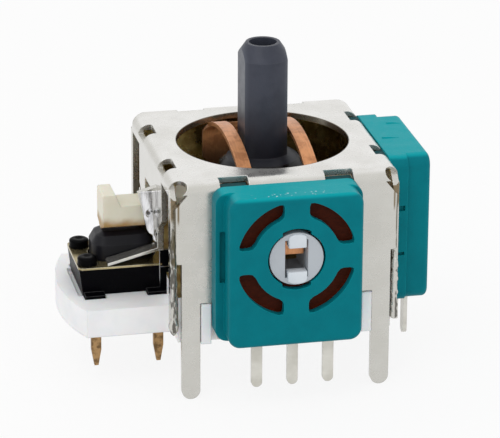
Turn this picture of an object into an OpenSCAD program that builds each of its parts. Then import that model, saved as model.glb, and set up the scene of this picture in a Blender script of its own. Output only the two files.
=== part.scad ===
// Two-axis thumb stick module for a game controller: a folded tin can on a white base,
// a stem on a gimbal, two side potentiometers and a push switch under a side lever.
// Origin: under the middle of the can, at the face that seats on the circuit board.
// +Z is along the stem, the front potentiometer is on -Y, the right one on +X.

/* [Can] */
// Width and depth of the folded can
can_w = 16; // [15.6:0.1:17.5]
// Height of the can's top face above the board
can_top = 11.7; // [11.5:0.1:12.5]
// Thickness of the can's sheet
sheet = 0.45; // [0.35:0.05:0.5]
// Outer radius of the can's folds
fold_r = 0.8; // [0.6:0.1:1]
// Diameter of the round opening round the stem
opening_d = 12.1; // [12:0.1:12.6]
// Width of each mounting leg
leg_w = 1.28; // [1:0.02:1.4]
// Distance of each leg's middle from the can's middle
leg_offset = 6.68; // [6.6:0.02:6.8]
// Length of the legs below the board face
leg_drop = 4.1; // [3:0.1:5]
// Height of the front wall's lower edge beside the legs
wall_low = 2.95; // [2.5:0.05:3.4]
// Half width of the wall's middle tongue behind a potentiometer
tongue_half = 4.8; // [4.6:0.05:5.2]
// Half width of the side window that the lever passes through
window_half = 1.95; // [1.9:0.05:2.1]
// Outer half width of the two fingers beside that window
finger_half = 4.1; // [3.8:0.05:4.4]
// Width of each corner post on the window side
post_w = 0.75; // [0.6:0.05:1]
// Lower end of the corner posts
post_low = 0.7; // [0.5:0.1:1.5]

/* [Base and carrier] */
// Thickness of the base's floor
floor_t = 0.8; // [0.6:0.1:1]
// Height of the base's wall round the spring plate
base_h = 3.3; // [3.1:0.1:3.4]
// Half width of the switch carrier
carrier_half = 5.5; // [5.2:0.1:6]
// Height of the switch carrier's rim
carrier_h = 2; // [1.9:0.1:2.2]
// Distance of the carrier's far end from the middle
carrier_reach = 14.65; // [14.4:0.05:15.2]
// Radius of the carrier's bulged end
carrier_bulge_r = 13.3; // [12:0.1:16]

/* [Stem] */
// Height of the pivot axes above the board
pivot_z = 6.9; // [6.8:0.05:7]
// Height of the stem's top above the board
stem_top = 18.85; // [17:0.05:20]
// Diameter of the stem's round sides
stem_d = 3.85; // [3.7:0.05:3.9]
// Width across the stem's two flats
stem_flats = 3.02; // [2.9:0.02:3.1]
// Diameter of the bore in the stem's top
stem_bore_d = 1.95; // [1.6:0.05:2]
// Depth of the bore in the stem's top
stem_bore_depth = 5; // [3:0.5:6]
// Height of the cone at the stem's top
stem_cone_h = 1.05; // [0.8:0.05:1.2]
// Diameter of the rim at the stem's top
stem_rim_d = 2.4; // [2.3:0.05:2.6]
// Radius of the dome under the stem, about the pivot
dome_r = 4.4; // [4.2:0.05:4.6]
// Diameter of the dome's lower edge
dome_d = 6.1; // [5.8:0.1:6.2]
// Diameter of the ball that the stem turns on
ball_d = 5.2; // [5:0.05:5.3]
// Diameter of the pin through the ball
pin_d = 1.5; // [1.3:0.05:1.6]

/* [Gimbal] */
// Diameter of the gimbal's ring
ring_d = 10; // [9.6:0.1:10.1]
// Height of the ring's top above the pivot
ring_top = 1.35; // [1.2:0.05:1.4]
// Depth of the gimbal's underside below the pivot
keel = 0.8; // [0.65:0.05:0.85]
// Depth of the lever's underside below the pivot
lever_keel = 0.95; // [0.8:0.05:1]
// Width of the lever that reaches over the switch
lever_w = 2.4; // [2.2:0.05:2.5]
// Height of the lever's top above the pivot
lever_top = 0.95; // [0.8:0.05:1.3]
// Distance of the lever's end from the middle
lever_reach = 11.55; // [11.3:0.05:11.8]
// Height of the knob at the lever's end above the lever
knob_h = 0.85; // [0.6:0.05:1]
// Length of the knob at the lever's end
knob_l = 0.9; // [0.5:0.05:1]

/* [Arch] */
// Height of the arch's top above the board
arch_top = 12.45; // [12.2:0.05:12.6]
// Radius of the arch's crown
arch_r = 12.6; // [12:0.1:14]
// Thickness of the arch's sheet
arch_t = 0.3; // [0.2:0.05:0.35]
// Width across the two strips of the arch
arch_w = 5.6; // [5.4:0.05:5.7]
// Width of the slot between the strips
arch_slot = 3.7; // [3.6:0.05:3.9]
// Distance from the middle where the crown turns down
arch_turn = 5; // [4.9:0.05:5.1]
// Outer radius of the bend where the crown turns down
arch_bend_r = 1.6; // [1.4:0.05:1.7]

/* [Potentiometers] */
// Width of each housing
pot_w = 9.3; // [9:0.1:9.6]
// Width of the flange at the back of each housing
pot_flange_w = 10.2; // [10:0.1:10.6]
// Depth of that flange
pot_flange_d = 1.3; // [1:0.05:1.5]
// Depth of each housing, out from the can
pot_d = 3; // [2.8:0.05:3.3]
// Height of each housing's underside above the board
pot_low = 0.6; // [0.5:0.05:0.9]
// Rounding of the housing's four corners
pot_corner_r = 0.85; // [0.6:0.05:1]
// Rounding of the edges round its face
pot_edge_r = 0.35; // [0.2:0.05:0.45]
// Thickness of the housing's side walls
pot_wall = 0.5; // [0.4:0.05:0.55]
// Thickness of the housing's face
pot_face_t = 0.6; // [0.5:0.05:0.7]
// Diameter of the hole in the face
pot_hole_d = 4; // [3.9:0.05:4.2]
// Extra radius of the hole's notches above and below
pot_notch = 0.2; // [0.1:0.05:0.3]
// Inner radius of the curved windows
arc_in = 3.05; // [2.95:0.05:3.2]
// Outer radius of the curved windows
arc_out = 4.15; // [4:0.05:4.2]
// Half width of the cross that parts the four curved windows
cross_half = 0.86; // [0.7:0.02:1]
// Thickness of the resistor plate
plate_t = 0.4; // [0.3:0.05:0.5]
// Spacing of the three terminals
terminal_pitch = 2.5; // [2.3:0.1:2.7]
// Width of each terminal
terminal_w = 0.75; // [0.6:0.05:0.9]
// Thickness of each terminal
terminal_t = 0.3; // [0.2:0.05:0.35]
// Length of the terminals below the board face
terminal_drop = 2.7; // [2:0.1:3.5]
// Diameter of the rotor's hub
hub_d = 3.74; // [3.6:0.02:3.8]
// Diameter of the rotor's flange
flange_d = 7.4; // [7:0.1:7.7]
// Width of the rotor's slot
slot_w = 1.6; // [1.5:0.02:1.65]
// Height of the rotor's slot
slot_h = 2.7; // [2.6:0.05:2.8]

/* [Spring and plate] */
// Travel of the stem when pressed
press = 0.3; // [0.2:0.05:0.35]
// Thickness of the spring plate
spring_plate_t = 1; // [0.8:0.05:1.1]
// Diameter of the spring plate
spring_plate_d = 12.2; // [11.8:0.1:12.6]
// Middle diameter of the return spring
spring_d = 7; // [6:0.1:8]
// Diameter of the spring's wire
wire_d = 0.45; // [0.3:0.05:0.5]
// Turns of the spring
spring_turns = 3; // [2:0.5:3.5]

/* [Switch] */
// Length of the switch body, out from the can
switch_l = 6.15; // [6:0.05:6.3]
// Width of the switch body
switch_w = 5.2; // [5:0.05:5.4]
// Distance of the switch body's far end from the middle
switch_reach = 13.5; // [13.4:0.05:13.6]
// Height of the switch cover's top above the board
switch_top = 4; // [3.9:0.05:4.1]
// Height of the switch body's underside above the board
switch_low = 1.85; // [1.8:0.05:1.85]
// Thickness of the switch cover
cover_t = 0.15; // [0.1:0.05:0.2]
// Length of the button
button_l = 4.4; // [4.2:0.05:4.5]
// Width of the button
button_w = 2.9; // [2.7:0.05:3]
// Distance of the button's middle from the middle of the can
button_x = 10.1; // [10:0.05:10.2]
// Diameter of the stakes that hold the cover
stake_d = 1.36; // [1.1:0.02:1.4]
// Height of the stakes above the cover
stake_h = 0.45; // [0.3:0.05:0.6]
// Distance of the far stakes from the middle
stake_x = 12.8; // [12.75:0.05:12.85]
// Distance of each stake's middle from the body's side
stake_inset = 0.85; // [0.75:0.05:0.95]
// Spacing of the switch terminals, out from the can
leg_pitch_x = 4.4; // [4.2:0.05:4.5]
// Spacing of the switch terminals, along the can's side
leg_pitch_y = 6.5; // [6.2:0.1:6.7]
// Middle of the four switch terminals, from the middle
leg_x = 10.3; // [10.2:0.05:10.4]
// Length of the switch terminals below the board face
switch_drop = 3; // [2.5:0.1:3.5]
// Width of each switch terminal
leg_pin_w = 0.7; // [0.5:0.05:0.75]

/* [Hidden] */
$fn = 48;
over = 1;              // how far a cut runs past the face it opens
half = can_w / 2;      // outer face of the can's walls
inner = half - sheet;  // inner face of the can's walls
run = 0.05;            // running clearance of a shaft in its hole, on the radius
seat = 0.05;           // clearance of a piece that drops into another

can_corner_r = 0.7;    // rounding of the can's upright corners, seen from above
wall_end = 0.2;        // the front wall stops this short of the corner
slit = 0.05;           // slit between two walls at a corner
notch_z = 5.9;         // the walls are narrower below this height
notch_w = 0.5;         // and by this much
tongue_low = 0.2;      // lower end of the middle tongues
slot_in = 7;          // slots at the top folds start this far from the middle
slot_near = 2.65;      // slots run from here
slot_far = 4.65;       // to here along each side
slot_drop = 0.65;      // depth of the open slots on the other two sides
hook_drop = 1;         // depth of the slots that hold a housing's hooks
hook_t = 0.5;          // thickness of a housing's hook
drop_r = 0.6;          // relief hole at each corner, square to the fold
drop_x = 7.5;
drop_depth = 0.25;     // its middle lies this far in from the two outer faces
drop_tip = 1.9;        // its pointed end reaches this far below the top
slit_top = can_top - 1.2;
finger_low = 6.4;      // lower end of the fingers beside the window
lip_out = 1.3;         // the finger's lip stands out this far at its top
lip_out_low = 0.75;    // and this far at its lower end
lip_top = 9.2;
window_top = 8.75;
lip_shoulder = 9.6;
lip_low = 6.8;
hold_w = 1.1;          // tab that holds the switch down
hold_t = 0.2;
hold_tip_x = 11.5;
hold_root_z = 5.15;
hold_gap = 0.05;
button_rim = 0.2;       // the button is held under the cover by a rim this wide
switch_floor = 0.5;    // thickness of the switch body's floor
dome_h = 0.4;          // height of the snap dome
button_round = 0.8;    // rounding of the button's top
pin_t = 0.3;           // thickness of the switch terminals
pin_taper = 1.2;       // length of their pointed ends
foot_l = 1.4;          // feet at the switch body's corners, over its terminals
foot_reach = 3.4;      // they reach this far from the middle, sideways
foot_h = 0.35;

bearing_r = hub_d / 2 + run;
pot_top = can_top - 0.35;
pot_out = half + pot_d;
cavity_half = pot_w / 2 - pot_wall;
cavity_low = pot_low + pot_wall;
cavity_top = pot_top - pot_wall;
face_in = pot_out - pot_face_t;
plate_in = face_in - plate_t;
plate_hole_r = hub_d / 2 + 0.2;
terminal_in = plate_in - terminal_t;
wiper_t = 0.15;
wiper_gap = 0.1;       // from the wiper to the terminals
flange_out = terminal_in - wiper_gap - wiper_t;
flange_t = 0.7;
window_corner = 0.35;  // the curved windows' corners are taken off by this
tilt = 21;             // the arm's underside clears the button up to this tilt, in degrees
pot_flange_x = 0.15;   // the flange lies this far to the left
side_window_h = 3.7;   // narrow window in the housing's side, beside its flange
side_window_w = 0.3;
side_window_low = 4.9;
nick_low = [4.15, 7.45];   // two small nicks in the housing's other side, from these heights
nick_high = [4.4, 7.85];   // to these
nick_out = 1.12;
nick_depth = 0.25;

lug_out = 0.15;
carrier_seat = switch_low - seat;
guide_r = spring_plate_d / 2 + seat;
plate_top_z = pivot_z - ball_d / 2 - seat;
spring_top = plate_top_z - spring_plate_t;
neck_d = 3;
dome_low = 3.1;        // the dome's lower edge, above the pivot
pocket_r = ball_d / 2 + 0.2;
pin_l = ring_d - 1.6;
tongue_w = 1.36;
tongue_h = 2;
arch_tongue_h = 1.3;
turn_angle = asin(arch_turn / arch_r);
end_out = arch_turn + arch_bend_r * (1 - sin(turn_angle));
end_in = end_out - arch_t;
arch_pin_r = 1;
arch_foot_r = 1.5;     // round foot of each arch leg, about the pivot
arch_neck_z = 11.1;    // the legs change width below this height
arch_back_half = 3.1;  // half width of the rear leg
button_top = pivot_z - lever_keel - seat;
body_top = switch_top - cover_t;

// block between two opposite corners
module block(x0, x1, y0, y1, z0, z1) {
    translate([x0, y0, z0]) cube([x1 - x0, y1 - y0, z1 - z0]);
}

// round bar along Y
module bar_y(x, z, r, y0, y1) {
    translate([x, y0, z]) rotate([-90, 0, 0]) cylinder(r = r, h = y1 - y0);
}

// round bar along X
module bar_x(y, z, r, x0, x1) {
    translate([x0, y, z]) rotate([0, 90, 0]) cylinder(r = r, h = x1 - x0);
}

// outline drawn in X and Z, given depth from y0 to y1
module plate_y(y0, y1) {
    translate([0, y1, 0]) rotate([90, 0, 0]) linear_extrude(y1 - y0) children();
}

// outline drawn in Y and Z, given length from x0 to x1
module plate_x(x0, x1) {
    translate([x0, 0, 0]) rotate([90, 0, 90]) linear_extrude(x1 - x0) children();
}

// rectangle with round corners, from corner to corner
module round_rect(x0, x1, y0, y1, r) {
    translate([x0 + r, y0]) square([x1 - x0 - 2 * r, y1 - y0]);
    translate([x0, y0 + r]) square([x1 - x0, y1 - y0 - 2 * r]);
    for (x = [x0 + r, x1 - r], y = [y0 + r, y1 - r]) translate([x, y]) circle(r = r);
}

// one wall with its fold at the top, drawn for the front side
module wall(end, low) {
    block(-end, end, -half, -inner, low, can_top - fold_r);
    intersection() {
        difference() {
            bar_x(-half + fold_r, can_top - fold_r, fold_r, -end, end);
            bar_x(-half + fold_r, can_top - fold_r, fold_r - sheet, -end - over, end + over);
        }
        block(-end, end, -half, -half + fold_r, can_top - fold_r, can_top);
    }
}

// wall behind a potentiometer: tongue, legs or posts, drawn for the front side
module pot_side(end, foot_mid, foot_w, foot_low) {
    difference() {
        wall(end, wall_low);
        for (s = [-1, 1]) translate([s * (foot_mid + foot_w / 2 + over), 0, 0])
            block(-over, over, -half - over, 0, 0, notch_z);
    }
    block(-tongue_half, tongue_half, -half, -inner, tongue_low, wall_low);
    for (s = [-1, 1]) translate([s * foot_mid, 0, 0]) {
        block(-foot_w / 2, foot_w / 2, -half, -inner, foot_low + foot_w / 2, notch_z);
        bar_y(0, foot_low + foot_w / 2, foot_w / 2, -half, -inner);
    }
}

// the window side: corner posts and two fingers, drawn for the front side
module window_side(end) {
    difference() {
        wall(end, post_low + post_w / 2);
        for (s = [-1, 1]) scale([s, 1, 1])
            block(finger_half, end - post_w, -half - over, 0, 0, slit_top);
        block(-finger_half - over, finger_half + over, -half - over, 0, 0, finger_low);
        block(-window_half, window_half, -half - over, 0, 0, window_top);
        for (s = [-1, 1]) translate([s * finger_half, 0, finger_low]) rotate([0, s * -35, 0])
            block(-over, over, -half - over, 0, -over, over);
    }
    for (s = [-1, 1]) {
        translate([s * (end - post_w / 2), 0, 0])
            bar_y(0, post_low + post_w / 2, post_w / 2, -half, -inner);
    }
}

// lip on the front finger, bent out beside the lever
module finger_lip() {
    plate_y(-window_half - sheet, -window_half)
        polygon([[-inner, lip_shoulder], [-half, lip_shoulder], [-half - lip_out, lip_top],
                 [-half - lip_out_low, lip_low], [-half - 0.25, finger_low], [-inner, finger_low]]);
}

// relief hole at a top corner, open to the corner, with its pointed end down at the slit
module corner_drop() {
    translate([drop_x, -half + drop_depth, can_top - drop_depth]) rotate([45, 0, 0])
        cylinder(r = drop_r, h = 2 * over, center = true);
    block(drop_x, half + over, -half - over, -inner, can_top - fold_r, can_top + over);
    block(drop_x, half + over, -half - over, -half + fold_r + 0.1, can_top - 0.15, can_top + over);
    plate_y(-half - over, -inner + 0.1)
        polygon([[drop_x - drop_r, can_top - fold_r], [half + over, can_top - fold_r],
                 [half + over, can_top - drop_tip], [half - wall_end, can_top - drop_tip]]);
}

module metal_can() {
    color([0.79, 0.79, 0.77]) {
        difference() {
            intersection() {
                union() {
                    block(-half + fold_r, half - fold_r, -half + fold_r, half - fold_r,
                          can_top - sheet, can_top);
                    for (a = [0, 180]) rotate([0, 0, a])
                        pot_side(half - wall_end, leg_offset, leg_w, -leg_drop);
                    rotate([0, 0, 90])
                        pot_side(inner - slit, inner - slit - leg_w / 2, leg_w, post_low);
                    rotate([0, 0, -90]) window_side(inner - slit);
                }
                translate([0, 0, -leg_drop - over]) linear_extrude(can_top + leg_drop + over)
                    round_rect(-half, half, -half, half, can_corner_r);
            }
            translate([0, 0, can_top - sheet - over])
                cylinder(d = opening_d, h = sheet + 2 * over, $fn = 96);
            for (a = [0, 90]) rotate([0, 0, a]) bar_y(0, pivot_z, bearing_r, -half - over, 0);
            rotate([0, 0, 180]) bar_y(0, pivot_z, arch_pin_r + run, -half - over, 0);
            for (a = [0, 90, 180, 270], s = [-1, 1]) rotate([0, 0, a]) scale([s, 1, 1])
                block(slot_near, slot_far, -half - over, -slot_in,
                    can_top - (a < 180 ? hook_drop : slot_drop), can_top + over);
            for (a = [0, 180], s = [-1, 1]) rotate([0, 0, a]) scale([s, 1, 1]) corner_drop();
        }
        finger_lip();
        hold_down();
    }
}

// springy tab that reaches from the front finger over the switch
module hold_down() {
    y1 = -button_w / 2 - 0.1;
    plate_y(y1 - hold_w, y1)
        polygon([[-inner, finger_low + 0.3], [-half, finger_low + 0.3], [-half, hold_root_z],
                 [-hold_tip_x, switch_top + hold_gap + hold_t], [-hold_tip_x, switch_top + hold_gap],
                 [-half + 0.1, hold_root_z - hold_t], [-inner, hold_root_z - hold_t]]);
}

module base() {
    color([0.93, 0.94, 0.95])
    difference() {
        union() {
            block(-inner + seat, inner - seat, -inner + seat, inner - seat, 0, base_h);
            for (a = [0, 90], s = [-1, 1]) rotate([0, 0, a]) scale([s, 1, 1]) lug();
            linear_extrude(carrier_h) carrier_outline();
        }
        translate([0, 0, floor_t]) cylinder(r = guide_r, h = base_h, $fn = 96);
        block(-switch_reach - seat, -half + 1.2, -switch_w / 2 - seat, switch_w / 2 + seat,
              carrier_seat, base_h + over);
        switch_feet(seat, carrier_seat, base_h + over);
        for (x = [-1, 1], y = [-1, 1])
            translate([-leg_x + x * leg_pitch_x / 2, y * leg_pitch_y / 2, 0])
                block(-leg_pin_w / 2 - seat, leg_pin_w / 2 + seat, -pin_t / 2 - seat, pin_t / 2 + seat,
                      -over, base_h + over);
        for (s = [-1, 1]) scale([1, s, 1])
            block(-half - over, -inner, inner - post_w - 2 * seat, half, -over, base_h + over);
    }
}

// four feet at the switch body's corners, larger all round by grow
module switch_feet(grow, z0, z1) {
    for (x = [-1, 1], s = [-1, 1]) scale([1, s, 1]) translate([-leg_x + x * leg_pitch_x / 2, 0, 0])
        block(-foot_l / 2 - grow, foot_l / 2 + grow, -foot_reach - grow, -switch_w / 2 + 0.3, z0, z1);
}

// plan of the carrier under the switch
module carrier_outline() {
    intersection() {
        translate([carrier_bulge_r - carrier_reach, 0]) circle(r = carrier_bulge_r, $fn = 96);
        round_rect(-carrier_reach - over, -inner + 2, -carrier_half, carrier_half, 0.4);
    }
}

// white lug that fills the gap beside a tongue, drawn for the front side
module lug() {
    block(pot_flange_w / 2 + pot_flange_x + seat, leg_offset - leg_w / 2 - seat, -half - lug_out,
          -inner + over, 0, wall_low - seat);
}

// housing of a potentiometer, drawn for the front side
module pot_housing() {
    color([0, 0.50, 0.54])
    difference() {
        union() {
            plate_y(-half - pot_flange_d, -half)
                translate([-pot_flange_x, 0])
                    round_rect(-pot_flange_w / 2, pot_flange_w / 2, pot_low, pot_top, pot_corner_r);
            pot_body();
            for (s = [-1, 1]) scale([s, 1, 1])
                block(slot_near + 2 * seat, slot_far - 2 * seat, -half - pot_wall, -slot_in - 2 * seat,
                      can_top - hook_drop + seat, can_top - hook_drop + seat + hook_t);
        }
        block(-cavity_half, cavity_half, -face_in, -half + 0.01, cavity_low, cavity_top);
        bar_y(0, pivot_z, pot_hole_d / 2, -pot_out - over, -half);
        intersection() {
            bar_y(0, pivot_z, pot_hole_d / 2 + pot_notch, -pot_out - over, -half);
            block(-1, 1, -pot_out - over, -half, 0, can_top);
        }
        plate_y(-pot_out - over, -face_in + over) translate([0, pivot_z])
            for (s = [-1, 1], t = [-1, 1]) scale([s, t]) polygon(arc_outline());
        for (x = [-1, 0, 1]) translate([x * terminal_pitch, 0, 0])
            block(-terminal_w / 2 - seat, terminal_w / 2 + seat, -plate_in - seat,
                  -terminal_in + seat, 0, cavity_low + over);
        block(-pot_w / 2 - side_window_w, -cavity_half + over, -half - pot_flange_d - side_window_w,
              -half - pot_flange_d + side_window_w, side_window_low, side_window_low + side_window_h);
        for (i = [0, 1])
            block(pot_flange_w / 2 - pot_flange_x - nick_depth, pot_flange_w, -half - nick_out,
                  -half + over, nick_low[i], nick_high[i]);
    }
}

// solid body of the housing, with round corners and a rounded edge all round its face
module pot_body() {
    x = pot_w / 2;
    c = pot_corner_r;
    e = pot_edge_r;
    translate([0, -half, 0]) rotate([90, 0, 0]) {
        block(-x + c, x - c, pot_low, pot_top, 0, pot_d - e);
        block(-x, x, pot_low + c, pot_top - c, 0, pot_d - e);
        block(-x + c, x - c, pot_low + e, pot_top - e, 0, pot_d);
        block(-x + e, x - e, pot_low + c, pot_top - c, 0, pot_d);
        for (z = [pot_low + e, pot_top - e]) bar_x(z, pot_d - e, e, -x + c, x - c);
        for (s = [-1, 1]) bar_y(s * (x - e), pot_d - e, e, pot_low + c, pot_top - c);
        for (s = [-1, 1], z = [pot_low + c, pot_top - c]) translate([s * (x - c), z, 0])
            rotate_extrude() {
                square([c, pot_d - e]);
                square([c - e, pot_d]);
                translate([c - e, pot_d - e]) circle(r = e);
            }
    }
}

// outline of the curved window in one quarter: a ring cut by a cross, with its corners taken off
function arc_outline() = let (
    a = asin(cross_half / arc_out), b = asin(cross_half / arc_in),
    da = window_corner / arc_out * 57.3, db = window_corner / arc_in * 57.3,
    far = arc_out * cos(a), near = arc_in * cos(b), q = window_corner)
    concat(
        [[far - q, cross_half], [far - 0.3 * q, cross_half + 0.2 * q]],
        [for (i = [0:14]) let (t = a + da + (90 - 2 * a - 2 * da) * i / 14) arc_out * [cos(t), sin(t)]],
        [[cross_half + 0.2 * q, far - 0.3 * q], [cross_half, far - q], [cross_half, near + q],
         [cross_half + 0.2 * q, near + 0.3 * q]],
        [for (i = [12:-1:0]) let (t = b + db + (90 - 2 * b - 2 * db) * i / 12) arc_in * [cos(t), sin(t)]],
        [[near + 0.3 * q, cross_half + 0.2 * q], [near + q, cross_half]]);

// phenolic plate that carries the resistor track
module resistor_plate() {
    color([0.24, 0.09, 0.04])
    difference() {
        block(-cavity_half + seat, cavity_half - seat, -face_in, -plate_in, cavity_low + seat,
              cavity_top - seat);
        bar_y(0, pivot_z, plate_hole_r, -face_in - over, -plate_in + over);
    }
}

// three flat terminals on the back of the plate
module pot_terminals() {
    color([0.83, 0.82, 0.78])
    for (x = [-1, 0, 1]) translate([x * terminal_pitch, 0, 0]) {
        block(-terminal_w / 2, terminal_w / 2, -plate_in, -terminal_in,
              -terminal_drop + terminal_w / 2, cavity_low + 1);
        bar_y(0, -terminal_drop + terminal_w / 2, terminal_w / 2, -plate_in, -terminal_in);
    }
}

// plastic rotor that the gimbal turns, with a slot for its tongue
module rotor() {
    color([0.80, 0.81, 0.80])
    difference() {
        union() {
            bar_y(0, pivot_z, hub_d / 2, -pot_out + 0.1, -inner + 0.1);
            bar_y(0, pivot_z, flange_d / 2, -flange_out, -flange_out + flange_t);
        }
        block(-slot_w / 2, slot_w / 2, -pot_out - over, 0, pivot_z - slot_h / 2, pivot_z + slot_h / 2);
    }
}

// sprung contact on the rotor, sliding on the resistor plate
module wiper() {
    color([0.78, 0.76, 0.70])
    difference() {
        bar_y(0, pivot_z, flange_d / 2 - 0.3, -flange_out - wiper_t, -flange_out);
        bar_y(0, pivot_z, hub_d / 2 + 0.1, -flange_out - over, -flange_out + over);
        block(-flange_d, flange_d, -flange_out - over, -flange_out + over, 0, pivot_z - 0.9);
    }
}

module front_pot_housing() { pot_housing(); }
module front_resistor_plate() { resistor_plate(); }
module front_pot_terminals() { pot_terminals(); }
module front_rotor() { rotor(); }
module front_wiper() { wiper(); }
module right_pot_housing() { mirror([1, 1, 0]) pot_housing(); }
module right_resistor_plate() { mirror([1, 1, 0]) resistor_plate(); }
module right_pot_terminals() { mirror([1, 1, 0]) pot_terminals(); }
module right_rotor() { mirror([1, 1, 0]) rotor(); }
module right_wiper() { mirror([1, 1, 0]) wiper(); }

// side view of one half of the arch: points on its outer face, or inside it by t
function arch_path(t) = concat(
    [for (i = [0:6]) let (a = turn_angle * i / 6)
        [(arch_r - t) * sin(a), arch_top - arch_r + (arch_r - t) * cos(a)]],
    [for (i = [1:6]) let (a = turn_angle + (90 - turn_angle) * i / 6)
        [end_out - arch_bend_r + (arch_bend_r - t) * sin(a),
         arch_top - arch_r + (arch_r - arch_bend_r) * cos(turn_angle) + (arch_bend_r - t) * cos(a)]],
    [[end_out - t, pivot_z - arch_foot_r - 0.1]]);

module gimbal_arch() {
    outer = arch_path(0);
    inside = arch_path(arch_t);
    n = len(outer);
    color([0.80, 0.50, 0.28]) {
        difference() {
            intersection() {
                plate_x(-arch_w, arch_w) for (s = [-1, 1]) scale([s, 1])
                    polygon(concat(outer, [for (i = [n - 1:-1:0]) inside[i]]));
                union() {
                    plate_y(-end_out - over, 0) arch_front();
                    plate_y(-0.01, end_out + over) arch_back();
                }
            }
            block(-arch_slot / 2, arch_slot / 2, -arch_turn - 0.3, arch_turn + 0.3,
                  pivot_z + 2, arch_top + over);
        }
        block(-tongue_w / 2, tongue_w / 2, -plate_in, -end_in, pivot_z, pivot_z + arch_tongue_h);
        bar_y(0, pivot_z, arch_pin_r, end_in, half);
    }
}

// the arch narrows towards its front tongue
module arch_front() {
    h = arch_w / 2;
    polygon([[-h, arch_top + over], [h, arch_top + over], [h, arch_neck_z], [0.82 * h, arch_neck_z - 0.7],
             [arch_foot_r, pivot_z + 1.1], [arch_foot_r, pivot_z], [-arch_foot_r, pivot_z],
             [-arch_foot_r, pivot_z + 1.1], [-0.82 * h, arch_neck_z - 0.7], [-h, arch_neck_z]]);
    translate([0, pivot_z]) circle(r = arch_foot_r);
}

// and is wide at the back
module arch_back() {
    h = arch_w / 2;
    g = arch_back_half;
    polygon([[-h, arch_top + over], [h, arch_top + over], [h, arch_neck_z], [g, arch_neck_z - 0.5],
             [g, pivot_z + 1.7], [arch_foot_r, pivot_z + 0.1], [-arch_foot_r, pivot_z + 0.1],
             [-g, pivot_z + 1.7], [-g, arch_neck_z - 0.5], [-h, arch_neck_z]]);
    translate([0, pivot_z]) circle(r = arch_foot_r);
}

// section of the lever and arms, rounded underneath so that turning doesn't push the button
module arm_section(w, top) {
    keel_r = lever_keel - seat;
    circle(r = lever_keel);
    for (s = [-1, 1]) scale([s, 1])
        polygon([[0, top], [w / 2, top], [w / 2, (w / 2 * sin(tilt) - keel_r) / cos(tilt)],
                 [keel_r * sin(tilt), -keel_r * cos(tilt)], [0, 0]]);
}

module lower_gimbal() {
    color([0.88, 0.85, 0.76])
    difference() {
        union() {
            translate([0, 0, pivot_z - keel]) cylinder(d = ring_d, h = keel + ring_top, $fn = 72);
            plate_x(-half, 0) translate([0, pivot_z]) arm_section(lever_w, ring_top);
            plate_x(-lever_reach, -half + 0.6) translate([0, pivot_z]) arm_section(lever_w, lever_top);
            plate_y(-lever_w / 2, lever_w / 2)
                polygon([[-lever_reach, pivot_z + lever_top - 0.1],
                         [-lever_reach, pivot_z + lever_top + knob_h - 0.1],
                         [-lever_reach + 0.1, pivot_z + lever_top + knob_h],
                         [-lever_reach + knob_l, pivot_z + lever_top + knob_h],
                         [-lever_reach + knob_l + 0.35, pivot_z + lever_top],
                         [-lever_reach + knob_l + 0.35, pivot_z + lever_top - 0.1]]);
            block(0, inner - 0.9, -1.6, 1.6, pivot_z - keel, pivot_z + ring_top);
            block(0, plate_in, -tongue_w / 2, tongue_w / 2, pivot_z - tongue_h / 2 + press / 2,
                  pivot_z + tongue_h / 2 + press / 2);
        }
        translate([0, 0, pivot_z - keel - over])
            cylinder(r = pocket_r, h = keel + ring_top + 2 * over, $fn = 72);
        bar_y(0, pivot_z, pin_d / 2, -pin_l / 2, pin_l / 2);
    }
}

module stem_pin() {
    color([0.72, 0.72, 0.70]) bar_y(0, pivot_z, pin_d / 2, -pin_l / 2, pin_l / 2);
}

module stem() {
    color([0.27, 0.28, 0.32])
    difference() {
        union() {
            translate([0, 0, pivot_z]) sphere(d = ball_d, $fn = 64);
            translate([0, 0, pivot_z]) cylinder(d = neck_d, h = dome_r - 0.2);
            intersection() {
                translate([0, 0, pivot_z]) sphere(r = dome_r, $fn = 64);
                translate([0, 0, pivot_z + dome_low]) cylinder(d = dome_d, h = dome_r, $fn = 64);
            }
            intersection() {
                translate([0, 0, pivot_z + dome_low]) union() {
                    cylinder(d = stem_d, h = stem_top - stem_cone_h - pivot_z - dome_low, $fn = 64);
                    translate([0, 0, stem_top - stem_cone_h - pivot_z - dome_low])
                        cylinder(d1 = stem_d, d2 = stem_rim_d, h = stem_cone_h, $fn = 64);
                }
                block(-stem_flats / 2, stem_flats / 2, -stem_d, stem_d, pivot_z, stem_top + over);
            }
        }
        bar_y(0, pivot_z, pin_d / 2 + run, -ball_d, ball_d);
        translate([0, 0, stem_top - stem_bore_depth]) cylinder(d = stem_bore_d, h = stem_bore_depth + over);
    }
}

module spring_plate() {
    color([0.86, 0.87, 0.88])
    difference() {
        union() {
            translate([0, 0, spring_top])
                cylinder(d = spring_plate_d, h = spring_plate_t, $fn = 72);
            translate([0, 0, spring_top - 0.8]) cylinder(d = spring_d - wire_d - 0.3, h = 1);
        }
        translate([0, 0, spring_top - 0.8 - over]) cylinder(d = spring_d - wire_d - 2, h = 0.8 + over);
    }
}

// one ring of the spring's wire, at a given angle along the coil
function wire_ring(a, z, sides) = [for (k = [0:sides - 1]) let (b = 360 * k / sides)
    [(spring_d / 2 + wire_d / 2 * cos(b)) * cos(a), (spring_d / 2 + wire_d / 2 * cos(b)) * sin(a),
     z + wire_d / 2 * sin(b)]];

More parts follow.
